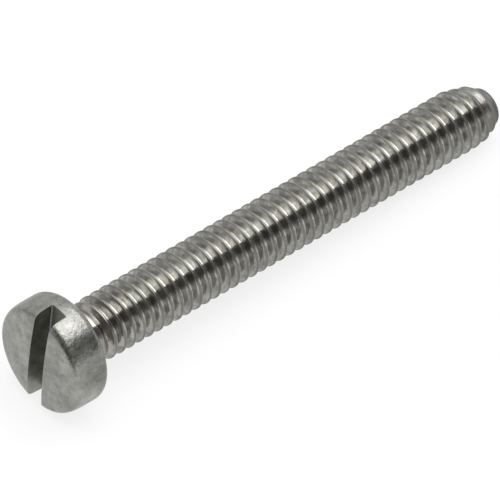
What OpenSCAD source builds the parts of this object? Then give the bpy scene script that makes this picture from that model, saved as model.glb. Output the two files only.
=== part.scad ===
// Slotted cheese-head machine screw, 2.5 mm thread, 20 mm long, lying on a flat surface.
// A real one is upset and rolled from a single piece of wire, so it is one solid.
// It is drawn upright, head down, with the underside of the head at z = 0 and the tip at the top,
// and then laid over so that it rests on the rim of its head and on the crests near its tip.

/* [Thread] */
// Diameter over the crests of the thread
thread_d = 2.38; // [2.2:0.02:2.8]
// Distance from one turn of the thread to the next
pitch = 0.45; // [0.4:0.01:0.55]
// Width of the flat along the crest
crest_w = 0.056; // [0.03:0.002:0.09]
// Width of the flat along the bottom of the groove
root_w = 0.08; // [0.04:0.005:0.11]
// Angle between the two flanks of the groove
flank_angle = 60; // [50:1:75]
// Turn of the whole thread about its axis, which moves its crests along the side that shows
thread_turn = -60; // [-180:15:180]
// Number of straight steps in each turn
turn_steps = 24; // [16:1:24]

/* [Shank] */
// Length from the underside of the head to the tip
shank_len = 20; // [12:0.5:24]
// Diameter of the plain neck under the head
neck_d = 2.1; // [2:0.02:2.16]
// Length of the plain neck
neck_len = 0.4; // [0.3:0.05:0.8]
// Length along which the thread grows from the neck to its full depth
runout_len = 0.8; // [0.4:0.1:1.6]
// Width of the ring round the thread's crests that the fillet under the head reaches
seat_clear = 0.06; // [0.03:0.01:0.1]

/* [Tip] */
// Diameter of the flat end face
tip_d = 1.12; // [0.9:0.02:1.3]
// Diameter of the short plain end that the thread starts from
pilot_d = 1.52; // [1.4:0.02:1.6]
// Length over which the plain end rounds down to the end face
pilot_round = 0.2; // [0.1:0.02:0.24]
// Diameter over the crests where the lead-in chamfer begins
lead_d = 2.08; // [1.9:0.02:2.16]
// Length from the start of the lead-in chamfer to the tip
lead_len = 0.6; // [0.5:0.02:0.8]
// Length from the tip to where the crests reach their full height
taper_len = 1.44; // [1:0.02:2]
// Distance of the tip's middle from the axis, because the wire is sheared a little off centre
tip_shift = 0.06; // [0:0.01:0.1]

/* [Head] */
// Largest diameter of the head
head_d = 4.3; // [4:0.02:4.8]
// Height of the head, from its underside to the middle of its top
head_h = 1.64; // [1.5:0.02:1.9]
// Height by which the top is domed
dome_h = 0.06; // [0.03:0.01:0.15]
// Radius of the rounding round the top
top_r = 0.36; // [0.1:0.02:0.5]
// Radius of the rounding round the underside
rim_r = 0.32; // [0.1:0.02:0.4]
// Angle by which the side leans in toward the top
side_angle = 0.5; // [0:0.5:5]

/* [Slot] */
// Width of the slot
slot_w = 0.76; // [0.5:0.02:0.8]
// Depth of the slot, from the middle of the top
slot_depth = 0.9; // [0.7:0.02:1.1]
// Turn of the slot away from upright, as the screw lies
slot_turn = 4; // [-90:1:90]

/* [Hidden] */
steel = [0.58, 0.58, 0.56];
round_sides = 96;
// Turn of the head's round surfaces about their own axis, so that a facet lies flat on the ground
seam_turn = 3.83;
// Direction of the tip's shift, counted from straight down as the screw lies
shift_angle = -52;
// How far the plain neck lies inside the thread that runs out on it
neck_inset = 0.02;
// Length of the plain end that is hidden inside the thread
pilot_bury = 0.4;
// Share of the plain end's rounding that lies past the end of the thread
bare_share = 0.6;
// How far the tool that cuts the slot reaches past the top of the head
cut_past = 1;

// Thread
crest_r = thread_d / 2;
flank_w = (pitch - crest_w - root_w) / 2;
root_r = crest_r - flank_w / tan(flank_angle / 2);
// The thread's own body starts halfway through the web between the slot and the underside
thread_start = -(head_h - slot_depth) / 2;
thread_end = shank_len - pilot_round * bare_share;
steps = floor(turn_steps * (thread_end - thread_start) / pitch) - turn_steps;

// Neck, head and plain end
neck_r = neck_d / 2;
neck_seat = neck_r - neck_inset;
fillet_r = crest_r + seat_clear - neck_seat;
head_r = head_d / 2;
pilot_r = pilot_d / 2;
tip_r = tip_d / 2;
lead_r = lead_d / 2;
lead_slope = (lead_r - pilot_r) / (lead_len - pilot_round);

// Lying down: the line that touches the head's rim and the full crests sets the tilt
rim_z = -rim_r;
rest_z = shank_len - taper_len;
lay_tilt = atan((head_r - crest_r) / (rest_z - rim_z));
lay_h = rim_z * sin(lay_tilt) + head_r * cos(lay_tilt);
// Both ends along the ground, so that the origin lies under the middle between them
top_x = -head_h * cos(lay_tilt);
tip_x = shank_len * cos(lay_tilt);

// Height over the axis of each corner of the thread's section, with a place along the pitch
section = [
    [0, root_r],
    [flank_w, crest_r],
    [flank_w + crest_w, crest_r],
    [2 * flank_w + crest_w, root_r]
];

// Largest radius that the thread may have at height z, over the chamfer and taper of the tip
function tip_limit(z) =
    z > shank_len - lead_len ? lead_r - (z - shank_len + lead_len) * lead_slope
    : z > rest_z ? lead_r + (crest_r - lead_r) * (1 - shifted(z))
    : crest_r;

// Angle of step i round the axis, with a straight step and not a corner toward the ground
function step_angle(i) = thread_turn + 360 * (i + 0.5) / turn_steps;

// Height at which step i of the helix begins its section
function step_z(i) = thread_start + pitch * i / turn_steps;

// Share of the full thread at height z, from 0 on the neck to 1 where it is whole
function grown(z) = min(1, max(0, (z - neck_len) / runout_len));

// Share of the tip's shift off the axis at height z, from 0 at full crests to 1 at the chamfer
function shifted(z) = min(1, max(0, (z - rest_z) / (taper_len - lead_len)));

// Corner of the thread at an angle round the axis and a height, for a radius r of its section
function thread_point(a, z, r) =
    let (limit = tip_limit(z) + tip_shift * shifted(z) * cos(a - shift_angle))
    let (q = min(limit, neck_r + (r - neck_r) * grown(z)))
        [q * cos(a), q * sin(a), z];

// The threaded rod, as a strip that winds up the axis and is closed by a fan at both ends
module thread_body() {
    corners = len(section);
    count = steps + 1;
    points = concat(
        [for (i = [0:steps]) for (c = section) thread_point(step_angle(i), step_z(i) + c[0], c[1])],
        [for (i = [count:steps + turn_steps]) thread_point(step_angle(i), step_z(i), root_r)],
        [[0, 0, step_z(0)], [0, 0, step_z(steps + turn_steps)]]
    );
    low_centre = len(points) - 2;
    high_centre = len(points) - 1;
    // Number of the point at step i and corner c, where corner 4 is the first one a turn later
    function at(i, c) =
        c < corners ? i * corners + c
        : i + turn_steps <= steps ? (i + turn_steps) * corners
        : count * corners + (i + turn_steps - count);
    function quad(a, b, c, d) = [[a, b, c], [a, c, d]];
    skin = [for (i = [0:steps - 1]) for (c = [0:corners - 1])
        for (f = quad(at(i, c), at(i, c + 1), at(i + 1, c + 1), at(i + 1, c))) f];
    low_cap = [for (i = [0:turn_steps - 1]) [low_centre, at(i, 0), at(i + 1, 0)]];
    low_step = [for (c = [0:corners - 1]) [low_centre, at(0, c + 1), at(0, c)]];
    high_cap = [for (i = [count - turn_steps:steps])
        [high_centre, at(i, corners), at(i - 1, corners)]];
    high_step = [for (c = [0:corners - 1]) [high_centre, at(steps, c), at(steps, c + 1)]];
    polyhedron(points = points, faces = concat(skin, low_cap, low_step, high_cap, high_step));
}

// Points of an arc about [x, y], from angle a to angle b in n steps
function arc(x, y, r, a, b, n) =
    [for (i = [0:n]) let (t = a + (b - a) * i / n) [x + r * cos(t), y + r * sin(t)]];

// The head and the start of the neck, turned from one half section, with the slot milled across
module head_and_neck() {
    shoulder_z = -head_h + dome_h + top_r;
    shoulder_x = head_r - tan(side_angle) * (rim_z - shoulder_z) - top_r;
    dome_r = (shoulder_x * shoulder_x + dome_h * dome_h) / (2 * dome_h);
    dome_angle = asin(shoulder_x / dome_r);
    dome_steps = 7;
    stub_z = neck_len / 2;
    difference() {
        rotate([0, 0, seam_turn])
            rotate_extrude($fn = round_sides)
                polygon(concat(
                    [[0, stub_z], [neck_seat - fillet_r / 2, stub_z], [neck_seat, fillet_r]],
                    arc(neck_seat + fillet_r, fillet_r, fillet_r, 180, 270, 4),
                    arc(head_r - rim_r, rim_z, rim_r, 90, 0, 6),
                    arc(shoulder_x, shoulder_z, top_r, -side_angle, -90 + dome_angle, 8),
                    [for (i = [dome_steps - 1:-1:0]) let (t = dome_angle * i / dome_steps)
                        [dome_r * sin(t), -head_h + dome_r * (1 - cos(t))]]
                ));
        rotate([0, 0, slot_turn])
            translate([-head_r, -slot_w / 2, -head_h - cut_past])
                cube([head_d, slot_w, cut_past + slot_depth]);
    }
}

// The plain end, rounded down to its flat face
module plain_end() {
    translate([tip_shift * cos(shift_angle), tip_shift * sin(shift_angle), shank_len])
        rotate_extrude($fn = round_sides)
            polygon(concat(
                [[0, 0]],
                [for (t = [0:22.5:90])
                    [tip_r + (pilot_r - tip_r) * sin(t), -pilot_round * (1 - cos(t))]],
                [[pilot_r, -pilot_round - pilot_bury], [0, -pilot_round - pilot_bury]]
            ));
}

module screw() {
    color(steel)
        translate([-(top_x + tip_x) / 2, 0, lay_h])
            rotate([0, 90 + lay_tilt, 0])
                union() {
                    thread_body();
                    head_and_neck();
                    plain_end();
                }
}

screw();
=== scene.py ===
import math

import bpy
from mathutils import Matrix, Vector


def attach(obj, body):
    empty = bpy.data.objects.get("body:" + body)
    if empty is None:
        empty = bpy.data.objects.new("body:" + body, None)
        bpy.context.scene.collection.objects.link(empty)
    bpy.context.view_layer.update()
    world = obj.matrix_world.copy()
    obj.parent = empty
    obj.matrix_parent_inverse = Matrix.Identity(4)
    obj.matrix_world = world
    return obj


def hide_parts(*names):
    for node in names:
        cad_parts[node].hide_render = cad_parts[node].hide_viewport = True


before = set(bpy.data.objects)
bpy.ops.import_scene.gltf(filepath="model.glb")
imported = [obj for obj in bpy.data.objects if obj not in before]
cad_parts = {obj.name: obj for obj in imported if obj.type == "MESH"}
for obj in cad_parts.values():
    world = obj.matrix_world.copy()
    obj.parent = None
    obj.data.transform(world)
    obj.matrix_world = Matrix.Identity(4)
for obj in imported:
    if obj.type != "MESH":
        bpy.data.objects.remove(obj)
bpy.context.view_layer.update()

MM = 0.001

# The screw's sizes in millimetres and degrees, as in the part's source
THREAD_D = 2.38
PITCH = 0.45
CREST_W = 0.056
ROOT_W = 0.08
FLANK_ANGLE = 60
THREAD_TURN = -60
SOURCE_TURN_STEPS = 24
SHANK_LEN = 20
NECK_D = 2.1
NECK_LEN = 0.4
RUNOUT_LEN = 0.8
SEAT_CLEAR = 0.06
TIP_D = 1.12
PILOT_D = 1.52
PILOT_ROUND = 0.2
LEAD_D = 2.08
LEAD_LEN = 0.6
TAPER_LEN = 1.44
TIP_SHIFT = 0.06
SHIFT_ANGLE = -52
BARE_SHARE = 0.6
PILOT_BURY = 0.4
NECK_INSET = 0.02
HEAD_D = 4.3
HEAD_H = 1.64
RIM_R = 0.32
SLOT_W = 0.76
SLOT_DEPTH = 0.9
SLOT_TURN = 4
CUT_PAST = 1

# Finer shape of the head's top than in the source: its side curves in to a worn edge
CURVE_Z = -0.65
CURVE_POWER = 3
EDGE_D = 4.12
EDGE_R = 0.3
EDGE_DROP = 0.105

# Finer shape of the slot's bottom corners and of the thread's crests and roots
SLOT_CORNER = 0.04
CREST_ROUND = 0.028
ROOT_ROUND = 0.035

# Colours of the steel's finishes
HEAD_STEEL = (0.28, 0.28, 0.26)
FLANK_STEEL = (0.4, 0.396, 0.367)
CREST_STEEL = (0.235, 0.233, 0.216)
# The colour of the thread's random stains, also used as painted shade on the thread next to the
# head
STAIN_AND_SHADE_STEEL = (0.255, 0.228, 0.212)
END_STEEL = (0.18, 0.18, 0.166)
SLOT_STEEL = (0.28, 0.28, 0.256)

# Roughness of the finishes, between two ends, and what the crests and the bare end add to it
HEAD_ROUGHNESS = (0.24, 0.37)
FLANK_ROUGHNESS = (0.2, 0.12)
SLOT_ROUGHNESS = (0.3, 0.5)
CREST_DULLNESS = 0.18
END_DULLNESS = 0.25

# Depth of the finishes' relief in millimetres
DENT_DEPTH = 0.014
GRAIN_DEPTH = 0.007
WAVE_DEPTH = 0.006
STREAK_DEPTH = 0.005
SAW_DEPTH = 0.004

# Depths below the crests between which their finish fades, in millimetres
CREST_FADE = (0.02, 0.06)

# Fineness of the dressed mesh: numbers of steps, and the angle from which an edge is sharp.
# The rounding of the head's edge takes the place of EDGE_SPAN steps of the side and of the top.
TURN_STEPS = 96
ROUND_STEPS = 3
HEAD_SIDES = 288
PILOT_SIDES = 144
FILLET_STEPS = 8
RIM_STEPS = 16
SIDE_STEPS = 14
DOME_STEPS = 16
EDGE_STEPS = 8
EDGE_SPAN = 4
PILOT_STEPS = 8
SHARP_ANGLE = 28

# How near a face of the slot lies to its wall in millimetres, and how squarely it faces across
WALL_NEAR = 1e-3
WALL_FACING = 0.99

# Numbers of the Mix node's colour sockets
MIX_FIRST = 6
MIX_SECOND = 7
MIX_RESULT = 2

# Camera, measured from the photograph: direction from the object, distance and scale
CAMERA_AZIMUTH = -41.69
CAMERA_ELEVATION = 44.58
CAMERA_DISTANCE = 0.48
PIXELS_PER_MM = 27.83
IMAGE_SIZE = 500
ORIGIN_PIXEL = (263.66, 265.13)
SENSOR_MM = 36

# Light: how bright the room, the lamp and the floor are, and the colours of floor and cards
ROOM_LEVEL = 0.9
LAMP_LEVEL = 3.6
FLOOR_LEVEL = 0.79
FLOOR_COLOUR = (0.16, 0.16, 0.16)
CARD_COLOUR = (0.02, 0.02, 0.02)

# Reach of the floor, distances and heights of the cards and height of the lamp, in metres
FLOOR_REACH = 1.5
FAR_CARD = 0.8
NEAR_CARD = 0.03
FLOOR_CARD = 0.0002
HEAD_CARD = 0.014
LAMP_HEIGHT = 0.6

CREST_R = THREAD_D / 2
HEAD_R = HEAD_D / 2
NECK_R = NECK_D / 2
FLANK_W = (PITCH - CREST_W - ROOT_W) / 2
GROOVE = FLANK_W / math.tan(math.radians(FLANK_ANGLE / 2))
ROOT_R = CREST_R - GROOVE
LEAD_SLOPE = (LEAD_D - PILOT_D) / (2 * (LEAD_LEN - PILOT_ROUND))
THREAD_START = -(HEAD_H - SLOT_DEPTH) / 2
THREAD_END = SHANK_LEN - PILOT_ROUND * BARE_SHARE
THREAD_STEPS = math.floor(TURN_STEPS * (THREAD_END - THREAD_START) / PITCH) - TURN_STEPS
LAY_TILT = math.atan((HEAD_R - CREST_R) / (SHANK_LEN - TAPER_LEN + RIM_R))
LAY_H = -RIM_R * math.sin(LAY_TILT) + HEAD_R * math.cos(LAY_TILT)
MIDDLE_X = (SHANK_LEN - HEAD_H) * math.cos(LAY_TILT) / 2


def lay_down():
    """Matrix from the upright screw in millimetres to where it lies in metres."""
    place = Matrix.Translation((-MIDDLE_X * MM, 0, LAY_H * MM))
    turn = Matrix.Rotation(math.pi / 2 + LAY_TILT, 4, "Y")
    return place @ turn @ Matrix.Scale(MM, 4)


def arc(x, y, r, start, end, count):
    """Points of an arc about (x, y), with its angles in degrees."""
    angles = [math.radians(start + (end - start) * i / count) for i in range(count + 1)]
    return [(x + r * math.cos(a), y + r * math.sin(a)) for a in angles]


def rounded(corners, radii, count):
    """The open line through corners, with each inner corner rounded by its radius."""
    points = [corners[0]]
    for before, at, after, radius in zip(corners, corners[1:], corners[2:], radii):
        p, a, b = Vector(at), (Vector(before) - Vector(at)), (Vector(after) - Vector(at))
        turn = math.pi - a.angle(b)
        reach = radius * math.tan(turn / 2)
        first, last = p + a.normalized() * reach, p + b.normalized() * reach
        for i in range(count + 1):
            t = i / count
            points.append(tuple((1 - t) ** 2 * first + 2 * t * (1 - t) * p + t * t * last))
    return points + [corners[-1]]


def thread_section():
    """One pitch of the thread as (height, radius), from the middle of a groove to the next."""
    root = ROOT_W / 2
    corners = [
        (0, ROOT_R), (root, ROOT_R), (root + FLANK_W, CREST_R),
        (root + FLANK_W + CREST_W, CREST_R), (PITCH - root, ROOT_R), (PITCH, ROOT_R),
    ]
    radii = [ROOT_ROUND, CREST_ROUND, CREST_ROUND, ROOT_ROUND]
    return rounded(corners, radii, ROUND_STEPS)[:-1]


def clamp(value):
    return min(1, max(0, value))


def tip_limit(z):
    """Largest radius of the thread at height z, over the tip's chamfer and taper."""
    if z > SHANK_LEN - LEAD_LEN:
        return LEAD_D / 2 - (z - SHANK_LEN + LEAD_LEN) * LEAD_SLOPE
    if z > SHANK_LEN - TAPER_LEN:
        share = (SHANK_LEN - LEAD_LEN - z) / (TAPER_LEN - LEAD_LEN)
        return LEAD_D / 2 + (CREST_R - LEAD_D / 2) * share
    return CREST_R


def thread_point(angle, z, r):
    """A corner of the thread, with its run-out at the neck and its taper at the tip."""
    shifted = clamp((z - SHANK_LEN + TAPER_LEN) / (TAPER_LEN - LEAD_LEN))
    limit = tip_limit(z) + TIP_SHIFT * shifted * math.cos(angle - math.radians(SHIFT_ANGLE))
    grown = clamp((z - NECK_LEN) / RUNOUT_LEN)
    radius = min(limit, NECK_R + (r - NECK_R) * grown)
    return (radius * math.cos(angle), radius * math.sin(angle), z)


def thread_mesh():
    """The threaded rod as a closed mesh, both ends of which lie inside the head and the tip."""
    section = thread_section()
    corners, steps = len(section), THREAD_STEPS
    phase = math.radians(THREAD_TURN) + math.pi / SOURCE_TURN_STEPS
    lift = -ROOT_W / 2

    def point(i, c):
        h, r = section[c]
        angle = phase + math.tau * i / TURN_STEPS
        return thread_point(angle, THREAD_START + lift + PITCH * i / TURN_STEPS + h, r)

    verts = [point(i, c) for i in range(steps + 1) for c in range(corners)]
    verts += [point(i, 0) for i in range(steps + 1, steps + TURN_STEPS + 1)]
    low, high = len(verts), len(verts) + 1
    verts += [(0, 0, THREAD_START), (0, 0, THREAD_START + PITCH * (steps / TURN_STEPS + 1))]

    def at(i, c):
        if c < corners:
            return i * corners + c
        if i + TURN_STEPS <= steps:
            return (i + TURN_STEPS) * corners
        return (steps + 1) * corners + i + TURN_STEPS - steps - 1

    faces = [(at(i, c + 1), at(i, c), at(i + 1, c), at(i + 1, c + 1))
             for i in range(steps) for c in range(corners)]
    faces += [(low, at(i + 1, 0), at(i, 0)) for i in range(TURN_STEPS)]
    faces += [(low, at(0, c), at(0, c + 1)) for c in range(corners)]
    ends = range(steps - TURN_STEPS + 1, steps + 1)
    faces += [(high, at(i - 1, corners), at(i, corners)) for i in ends]
    faces += [(high, at(steps, c + 1), at(steps, c)) for c in range(corners)]
    return verts, faces


def revolve(outline, sides):
    """A closed solid from an outline of (radius, height) that starts and ends on the axis."""
    inner = outline[1:-1]
    verts = [(0, 0, outline[0][1])]
    for r, z in inner:
        verts += [(r * math.cos(math.tau * k / sides), r * math.sin(math.tau * k / sides), z)
                  for k in range(sides)]
    verts.append((0, 0, outline[-1][1]))
    last = len(verts) - 1
    faces = []
    for k in range(sides):
        n = (k + 1) % sides
        faces.append((0, 1 + n, 1 + k))
        for j in range(len(inner) - 1):
            a, b = 1 + j * sides, 1 + (j + 1) * sides
            faces.append((a + k, a + n, b + n, b + k))
        a = 1 + (len(inner) - 1) * sides
        faces.append((last, a + k, a + n))
    return verts, faces


def head_outline():
    """Half section of the head, its fillet and the stub inside the neck, from the stub down."""
    seat = NECK_R - NECK_INSET
    fillet = CREST_R + SEAT_CLEAR - seat
    edge = EDGE_D / 2
    dome = (edge ** 2 + EDGE_DROP ** 2) / (2 * EDGE_DROP)
    lean = math.asin(edge / dome)
    top = [(dome * math.sin(t), -HEAD_H + dome * (1 - math.cos(t)))
           for t in (lean * i / DOME_STEPS for i in range(DOME_STEPS, -1, -1))]
    inward, down = HEAD_R - edge, CURVE_Z + HEAD_H - EDGE_DROP
    side = [(HEAD_R - inward * t ** CURVE_POWER, CURVE_Z - down * t)
            for t in (i / SIDE_STEPS for i in range(SIDE_STEPS + 1))]
    points = [(0, NECK_LEN / 2), (seat - fillet / 2, NECK_LEN / 2), (seat, fillet)]
    points += arc(seat + fillet, fillet, fillet, 180, 270, FILLET_STEPS)[1:]
    points += arc(HEAD_R - RIM_R, -RIM_R, RIM_R, 90, 0, RIM_STEPS)
    last = EDGE_SPAN + 1
    corner = [side[-last], top[0], top[EDGE_SPAN]]
    return points + side[:-last] + rounded(corner, [EDGE_R], EDGE_STEPS) + top[last:]


def pilot_outline():
    """Half section of the plain end inside the tip, from the end face down."""
    points = [(0, SHANK_LEN)]
    for i in range(PILOT_STEPS + 1):
        t = math.radians(90 * i / PILOT_STEPS)
        r = TIP_D / 2 + (PILOT_D - TIP_D) / 2 * math.sin(t)
        points.append((r, SHANK_LEN - PILOT_ROUND * (1 - math.cos(t))))
    low = SHANK_LEN - PILOT_ROUND - PILOT_BURY
    return points + [(PILOT_D / 2, low), (0, low)]


def make_object(name, verts, faces):
    mesh = bpy.data.meshes.new(name)
    mesh.from_pydata(verts, [], faces)
    mesh.update()
    piece = bpy.data.objects.new(name, mesh)
    bpy.context.scene.collection.objects.link(piece)
    return piece


def combine(piece, other, operation):
    """Adds other to piece or cuts it from piece, and deletes it."""
    step = piece.modifiers.new("combine", "BOOLEAN")
    step.operation = operation
    step.object = other
    step.solver = "MANIFOLD"
    bpy.context.view_layer.update()
    result = piece.evaluated_get(bpy.context.evaluated_depsgraph_get())
    mesh = bpy.data.meshes.new_from_object(result)
    piece.modifiers.clear()
    piece.data = mesh
    bpy.data.objects.remove(other)


def slot_cutter():
    """The saw's path across the head, with the corners at its bottom broken."""
    side, top, bottom = SLOT_W / 2, -HEAD_H - CUT_PAST, -HEAD_H + SLOT_DEPTH
    section = [
        (-side, top), (side, top), (side, bottom - SLOT_CORNER), (side - SLOT_CORNER, bottom),
        (SLOT_CORNER - side, bottom), (-side, bottom - SLOT_CORNER),
    ]
    turn = Matrix.Rotation(math.radians(SLOT_TURN), 4, "Z")
    verts = [tuple(turn @ Vector((x, y, z))) for x in (-HEAD_D, HEAD_D) for y, z in section]
    count = len(section)
    faces = [(k, (k + 1) % count, count + (k + 1) % count, count + k) for k in range(count)]
    return verts, faces + [tuple(range(count))[::-1], tuple(range(count, 2 * count))]


def build_screw():
    screw = make_object("slotted_screw", *revolve(head_outline(), HEAD_SIDES))
    combine(screw, make_object("slot_cutter", *slot_cutter()), "DIFFERENCE")
    combine(screw, make_object("thread", *thread_mesh()), "UNION")
    verts, faces = revolve(pilot_outline(), PILOT_SIDES)
    angle = math.radians(SHIFT_ANGLE)
    shift = Vector((TIP_SHIFT * math.cos(angle), TIP_SHIFT * math.sin(angle), 0))
    pilot = make_object("pilot", [tuple(Vector(v) + shift) for v in verts], faces)
    combine(screw, pilot, "UNION")
    screw.data.transform(lay_down())
    screw.data.update()
    for polygon in screw.data.polygons:
        polygon.use_smooth = True
    screw.data.set_sharp_from_angle(angle=math.radians(SHARP_ANGLE))
    return screw


def add_node(tree, kind, **inputs):
    """A shader node with its inputs set by name, or by number as i0, i1 and so on.

    An input whose value is a socket is linked to it.
    """
    node = tree.nodes.new("ShaderNode" + kind)
    for name, value in inputs.items():
        socket = node.inputs[int(name[1:]) if name[1:].isdigit() else name]
        if isinstance(value, bpy.types.NodeSocket):
            tree.links.new(value, socket)
        else:
            socket.default_value = value
    return node


def math_node(tree, operation, a, b=0.0):
    node = add_node(tree, "Math", i0=a, i1=b)
    node.operation = operation
    return node.outputs[0]


def map_range(tree, value, low, high, to_low=0, to_high=1):
    node = add_node(tree, "MapRange", Value=value)
    ends = {"From Min": low, "From Max": high, "To Min": to_low, "To Max": to_high}
    for name, number in ends.items():
        node.inputs[name].default_value = number
    return node.outputs["Result"]


def noise(tree, place, scale, detail, rough):
    node = add_node(tree, "TexNoise", Vector=place, Scale=scale, Detail=detail, Roughness=rough)
    return node.outputs["Fac"]


def on_screw(tree):
    """Places in millimetres along the screw, with X from the underside of the head to the tip."""
    here = tree.nodes.new("ShaderNodeTexCoord").outputs["Object"]
    level = Matrix.Rotation(-LAY_TILT, 4, "Y")
    shift = level @ Vector((MIDDLE_X, 0, -LAY_H))
    node = add_node(tree, "Mapping", Vector=here, Location=shift, Rotation=(0, -LAY_TILT, 0),
                    Scale=(1 / MM, 1 / MM, 1 / MM))
    return node.outputs[0]


def stretched(tree, place, stretch):
    return add_node(tree, "Mapping", Vector=place, Scale=stretch).outputs[0]


def crest_share(tree, place):
    """1 on the crests of the thread and 0 in its grooves, also where the crests fall to the tip."""
    apart = add_node(tree, "SeparateXYZ", Vector=place)
    across = add_node(tree, "CombineXYZ", Y=apart.outputs["Y"], Z=apart.outputs["Z"])
    length = add_node(tree, "VectorMath", i0=across.outputs[0])
    length.operation = "LENGTH"
    up, lead_start = apart.outputs["X"], SHANK_LEN - LEAD_LEN
    taper = map_range(tree, up, SHANK_LEN - TAPER_LEN, lead_start, CREST_R, LEAD_D / 2)
    lead = map_range(tree, up, lead_start, SHANK_LEN - PILOT_ROUND, CREST_R, PILOT_D / 2)
    limit = math_node(tree, "MINIMUM", taper, lead)
    depth = math_node(tree, "SUBTRACT", limit, length.outputs["Value"])
    return map_range(tree, depth, *CREST_FADE, 1, 0)


def mix_colour(tree, share, first, second):
    node = add_node(tree, "Mix", Factor=share)
    node.data_type = "RGBA"
    for number, value in ((MIX_FIRST, first), (MIX_SECOND, second)):
        if isinstance(value, bpy.types.NodeSocket):
            tree.links.new(value, node.inputs[number])
        else:
            node.inputs[number].default_value = (*value, 1)
    return node.outputs[MIX_RESULT]


def tinted(colour, share):
    return [c * share for c in colour]


def new_steel(name):
    material = bpy.data.materials.new(name)
    material.use_nodes = True
    shader = material.node_tree.nodes["Principled BSDF"]
    shader.inputs["Metallic"].default_value = 1
    return material, material.node_tree, shader


def bumps(tree, shader, layers):
    """Relief from pairs of a height and its depth in millimetres."""
    normal = None
    for height, depth in layers:
        node = add_node(tree, "Bump", Height=height, Distance=depth * MM, Strength=1.0)
        if normal is not None:
            tree.links.new(normal, node.inputs["Normal"])
        normal = node.outputs[0]
    tree.links.new(normal, shader.inputs["Normal"])


def tumbled_steel():
    """The head: dull and mottled, with the dents, pits and scuffs of tumbling in a drum."""
    material, tree, shader = new_steel("tumbled_head")
    place = on_screw(tree)
    clouds = noise(tree, place, scale=0.9, detail=3.0, rough=0.55)
    blots = noise(tree, place, scale=3.2, detail=4.0, rough=0.65)
    grain = noise(tree, place, scale=16.0, detail=3.0, rough=0.6)
    dents = noise(tree, place, scale=6.0, detail=2.0, rough=0.5)
    scuffs = noise(tree, stretched(tree, place, (3, 9, 5)), scale=1.0, detail=3.0, rough=0.6)
    pits = map_range(tree, noise(tree, place, scale=8.0, detail=2.0, rough=0.5), 0.66, 0.74)
    shade = math_node(tree, "ADD", clouds, blots)
    shade = math_node(tree, "ADD", shade, math_node(tree, "MULTIPLY", grain, 0.4))
    share = map_range(tree, shade, 0.95, 1.45)
    colour = mix_colour(tree, share, tinted(HEAD_STEEL, 0.72), tinted(HEAD_STEEL, 1.28))
    colour = mix_colour(tree, pits, colour, tinted(HEAD_STEEL, 0.5))
    tree.links.new(colour, shader.inputs["Base Color"])
    tree.links.new(map_range(tree, scuffs, 0.35, 0.65, *HEAD_ROUGHNESS), shader.inputs["Roughness"])
    bumps(tree, shader, ((dents, DENT_DEPTH), (grain, GRAIN_DEPTH)))
    return material


def rolled_steel():
    """The thread: burnished flanks with stains and streaks, painted shade on the thread next to the
    head, dull worn crests and a dull end.
    """
    material, tree, shader = new_steel("rolled_thread")
    place = on_screw(tree)
    stains = noise(tree, place, scale=2.2, detail=4.0, rough=0.65)
    blots = noise(tree, place, scale=3.4, detail=4.0, rough=0.65)
    streaks = noise(tree, stretched(tree, place, (13, 1.2, 1.2)), scale=1.0, detail=3.0, rough=0.6)
    waves = noise(tree, place, scale=5.0, detail=2.0, rough=0.5)
    crest = crest_share(tree, place)
    up = add_node(tree, "SeparateXYZ", Vector=place).outputs["X"]
    bare = map_range(tree, up, SHANK_LEN - 1.5 * LEAD_LEN, SHANK_LEN - 2 * PILOT_ROUND)
    # Painted shade: the thread is darkened toward the stain colour over its first turns next to the
    # head
    painted_shade_near_head = map_range(tree, up, NECK_LEN, NECK_LEN + 2 * RUNOUT_LEN, 0.6, 0)
    shade = math_node(tree, "ADD", blots, math_node(tree, "MULTIPLY", streaks, 0.7))
    share = map_range(tree, shade, 0.65, 1.05)
    flank = mix_colour(tree, share, tinted(FLANK_STEEL, 0.68), tinted(FLANK_STEEL, 1.26))
    worn = mix_colour(tree, share, tinted(CREST_STEEL, 0.8), tinted(CREST_STEEL, 1.2))
    colour = mix_colour(tree, crest, flank, worn)
    # Random stains, together with the painted shade next to the head
    stains_and_shade = math_node(tree, "MAXIMUM", map_range(tree, stains, 0.52, 0.66, 0, 0.75), painted_shade_near_head)
    colour = mix_colour(tree, stains_and_shade, colour, STAIN_AND_SHADE_STEEL)
    tree.links.new(mix_colour(tree, bare, colour, END_STEEL), shader.inputs["Base Color"])
    rough = map_range(tree, blots, 0.3, 0.7, *FLANK_ROUGHNESS)
    for where, dullness in ((crest, CREST_DULLNESS), (bare, END_DULLNESS)):
        rough = math_node(tree, "ADD", rough, math_node(tree, "MULTIPLY", where, dullness))
    tree.links.new(rough, shader.inputs["Roughness"])
    bumps(tree, shader, ((waves, WAVE_DEPTH), (streaks, STREAK_DEPTH)))
    return material


def milled_steel():
    """The inside of the slot: duller, with the saw's lines along it."""
    material, tree, shader = new_steel("milled_slot")
    place = on_screw(tree)
    blots = noise(tree, place, scale=2.4, detail=3.0, rough=0.6)
    lines = noise(tree, stretched(tree, place, (16, 16, 1.2)), scale=1.0, detail=2.0, rough=0.6)
    share = map_range(tree, blots, 0.3, 0.7)
    colour = mix_colour(tree, share, tinted(SLOT_STEEL, 0.7), tinted(SLOT_STEEL, 1.3))
    tree.links.new(colour, shader.inputs["Base Color"])
    tree.links.new(map_range(tree, lines, 0.3, 0.7, *SLOT_ROUGHNESS), shader.inputs["Roughness"])
    bumps(tree, shader, ((lines, SAW_DEPTH),))
    return material


def finish_of(place, normal):
    """Number of the finish at a place on the upright screw: 0 head, 1 thread, 2 slot."""
    if place.z >= 0:
        return 1
    turn = Matrix.Rotation(math.radians(-SLOT_TURN), 4, "Z")
    level, facing = turn @ place, turn @ normal
    wall = abs(abs(level.y) - SLOT_W / 2) < WALL_NEAR and abs(facing.y) > WALL_FACING
    bottom = abs(level.z + HEAD_H - SLOT_DEPTH) < WALL_NEAR and abs(facing.z) > WALL_FACING
    return 2 if wall or bottom else 0


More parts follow.
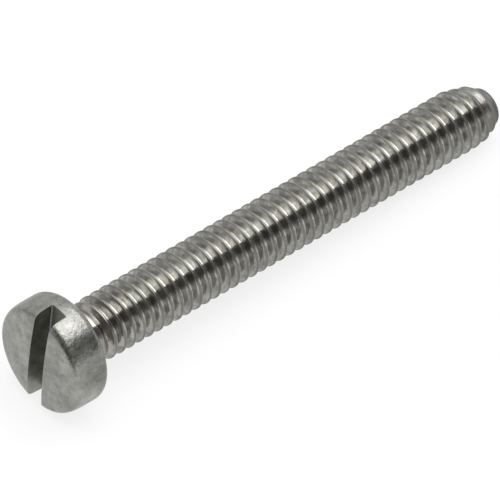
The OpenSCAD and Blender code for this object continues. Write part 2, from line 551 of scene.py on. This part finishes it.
def dress(screw):
    """Gives the head, the thread and the slot their own finish of the same steel."""
    screw.data.materials.clear()
    for material in (tumbled_steel(), rolled_steel(), milled_steel()):
        screw.data.materials.append(material)
    back = lay_down().inverted()
    upright = back.to_3x3().normalized()
    for polygon in screw.data.polygons:
        polygon.material_index = finish_of(back @ polygon.center, upright @ polygon.normal)


def add_camera():
    azimuth, elevation = math.radians(CAMERA_AZIMUTH), math.radians(CAMERA_ELEVATION)
    away = Vector((math.sin(azimuth) * math.cos(elevation),
                   -math.cos(azimuth) * math.cos(elevation), math.sin(elevation)))
    right = Vector((math.cos(azimuth), math.sin(azimuth), 0))
    up = away.cross(right)
    middle = IMAGE_SIZE / 2
    target = right * (middle - ORIGIN_PIXEL[0]) - up * (middle - ORIGIN_PIXEL[1])
    target *= MM / PIXELS_PER_MM
    data = bpy.data.cameras.new("camera")
    data.sensor_width = SENSOR_MM
    data.lens = PIXELS_PER_MM * CAMERA_DISTANCE / MM * SENSOR_MM / IMAGE_SIZE
    camera = bpy.data.objects.new("camera", data)
    place = Matrix.Translation(target + away * CAMERA_DISTANCE)
    camera.matrix_world = place @ Matrix((right, up, away)).transposed().to_4x4()
    bpy.context.scene.collection.objects.link(camera)
    bpy.context.scene.camera = camera


def glow(name, colour, strength):
    material = bpy.data.materials.new(name)
    material.use_nodes = True
    shader = material.node_tree.nodes["Principled BSDF"]
    shader.inputs["Base Color"].default_value = (*colour, 1)
    shader.inputs["Roughness"].default_value = 1
    shader.inputs["Specular IOR Level"].default_value = 0
    shader.inputs["Emission Color"].default_value = (1, 1, 1, 1)
    shader.inputs["Emission Strength"].default_value = strength
    return material


def add_floor():
    reach = FLOOR_REACH
    corners = [(-reach, -reach, 0), (reach, -reach, 0), (reach, reach, 0), (-reach, reach, 0)]
    floor = make_object("floor", corners, [(0, 1, 2, 3)])
    floor.data.materials.append(glow("pale_floor", FLOOR_COLOUR, FLOOR_LEVEL))


def gloss_only(card, strength):
    """Makes a card glow, and hides it from all but reflections."""
    card.data.materials.append(glow(card.name, CARD_COLOUR, strength))
    card.visible_camera = False
    card.visible_diffuse = False
    card.visible_shadow = False


def four_corners(across, along):
    """Corners of a rectangle between two numbers across and two along."""
    (left, right), (near, far) = across, along
    return [(left, near), (right, near), (right, far), (left, far)]


def add_card(name, turn, reach, across, up, strength):
    """An upright card seen only in gloss, at a distance toward -Y and then turned about Z.

    Its sides are shares of that distance.
    """
    spin = Matrix.Rotation(math.radians(turn), 4, "Z")
    corners = [tuple(spin @ Vector((x * reach, -reach, z * reach)))
               for x, z in four_corners(across, up)]
    gloss_only(make_object(name, corners, [(0, 1, 2, 3)]), strength)


def add_level_card(name, height, across, along, strength):
    """A level card seen only in gloss, with its height and sides in metres."""
    corners = [(x, y, height) for x, y in four_corners(across, along)]
    gloss_only(make_object(name, corners, [(0, 1, 2, 3)]), strength)


def add_softbox(name, across, along, level, fade):
    """A flat light overhead that dims to the room's level along Y.

    Its sides, and the two ends of the fade, are shares of its height.
    """
    corners = [(x * LAMP_HEIGHT, y * LAMP_HEIGHT, LAMP_HEIGHT)
               for x, y in four_corners(across, along)]
    lamp = make_object(name, corners, [(0, 3, 2, 1)])
    material = glow(name, (0, 0, 0), level)
    tree = material.node_tree
    here = tree.nodes.new("ShaderNodeTexCoord").outputs["Object"]
    low, high = (share * LAMP_HEIGHT for share in fade)
    along_y = add_node(tree, "SeparateXYZ", Vector=here).outputs["Y"]
    strength = map_range(tree, along_y, low, high, level, ROOM_LEVEL)
    tree.links.new(strength, tree.nodes["Principled BSDF"].inputs["Emission Strength"])
    lamp.data.materials.append(material)
    lamp.visible_camera = False


def add_world():
    world = bpy.data.worlds.new("studio")
    bpy.context.scene.world = world
    world.use_nodes = True
    background = world.node_tree.nodes["Background"]
    background.inputs["Color"].default_value = (1, 1, 1, 1)
    background.inputs["Strength"].default_value = ROOM_LEVEL


bpy.context.scene.view_settings.view_transform = "Standard"
add_camera()
screw = build_screw()
dress(screw)
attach(screw, "root")
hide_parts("screw")
add_floor()
add_world()
# Upright cards: turn in degrees, distance, sides as shares of it, and brightness
add_card("dark_front", 0, FAR_CARD, (-1.0, 3.6), (0.4, 2.0), 0.13)
add_card("dim_front", 0, FAR_CARD, (-1.0, 3.6), (0.18, 0.4), 0.35)
add_card("dark_left", -90, NEAR_CARD, (0.05, 1.0), (0.0, 0.9), 0.05)
add_card("dim_left", -90, NEAR_CARD, (-0.3, 0.05), (0.0, 0.35), 0.4)
add_card("dim_corner", -90, NEAR_CARD, (-0.7, -0.3), (0.0, 0.6), 0.6)
add_card("dim_back", 215, FAR_CARD, (-0.5, 0.5), (0.0, 0.3), 0.5)
# Level cards: height, sides in metres, and brightness
# Painted shadow: a dim card under the screw, seen only in reflections, stands in for the screw's
# shadow on the floor there
add_level_card("painted_shadow_below", FLOOR_CARD, (-0.0085, 0.018), (-0.008, 0.008), 0.68)
add_level_card("dim_behind", FLOOR_CARD, (-0.03, 0.05), (0.012, 0.8), 0.6)
add_level_card("dark_over_head", HEAD_CARD, (-0.03, -0.011), (-0.02, 0.003), 0.12)
# The lamp: sides as shares of its height, brightness, and where it dims
add_softbox("key", (-0.4, 0.82), (-0.55, 0.65), LAMP_LEVEL, (-0.05, 0.65))
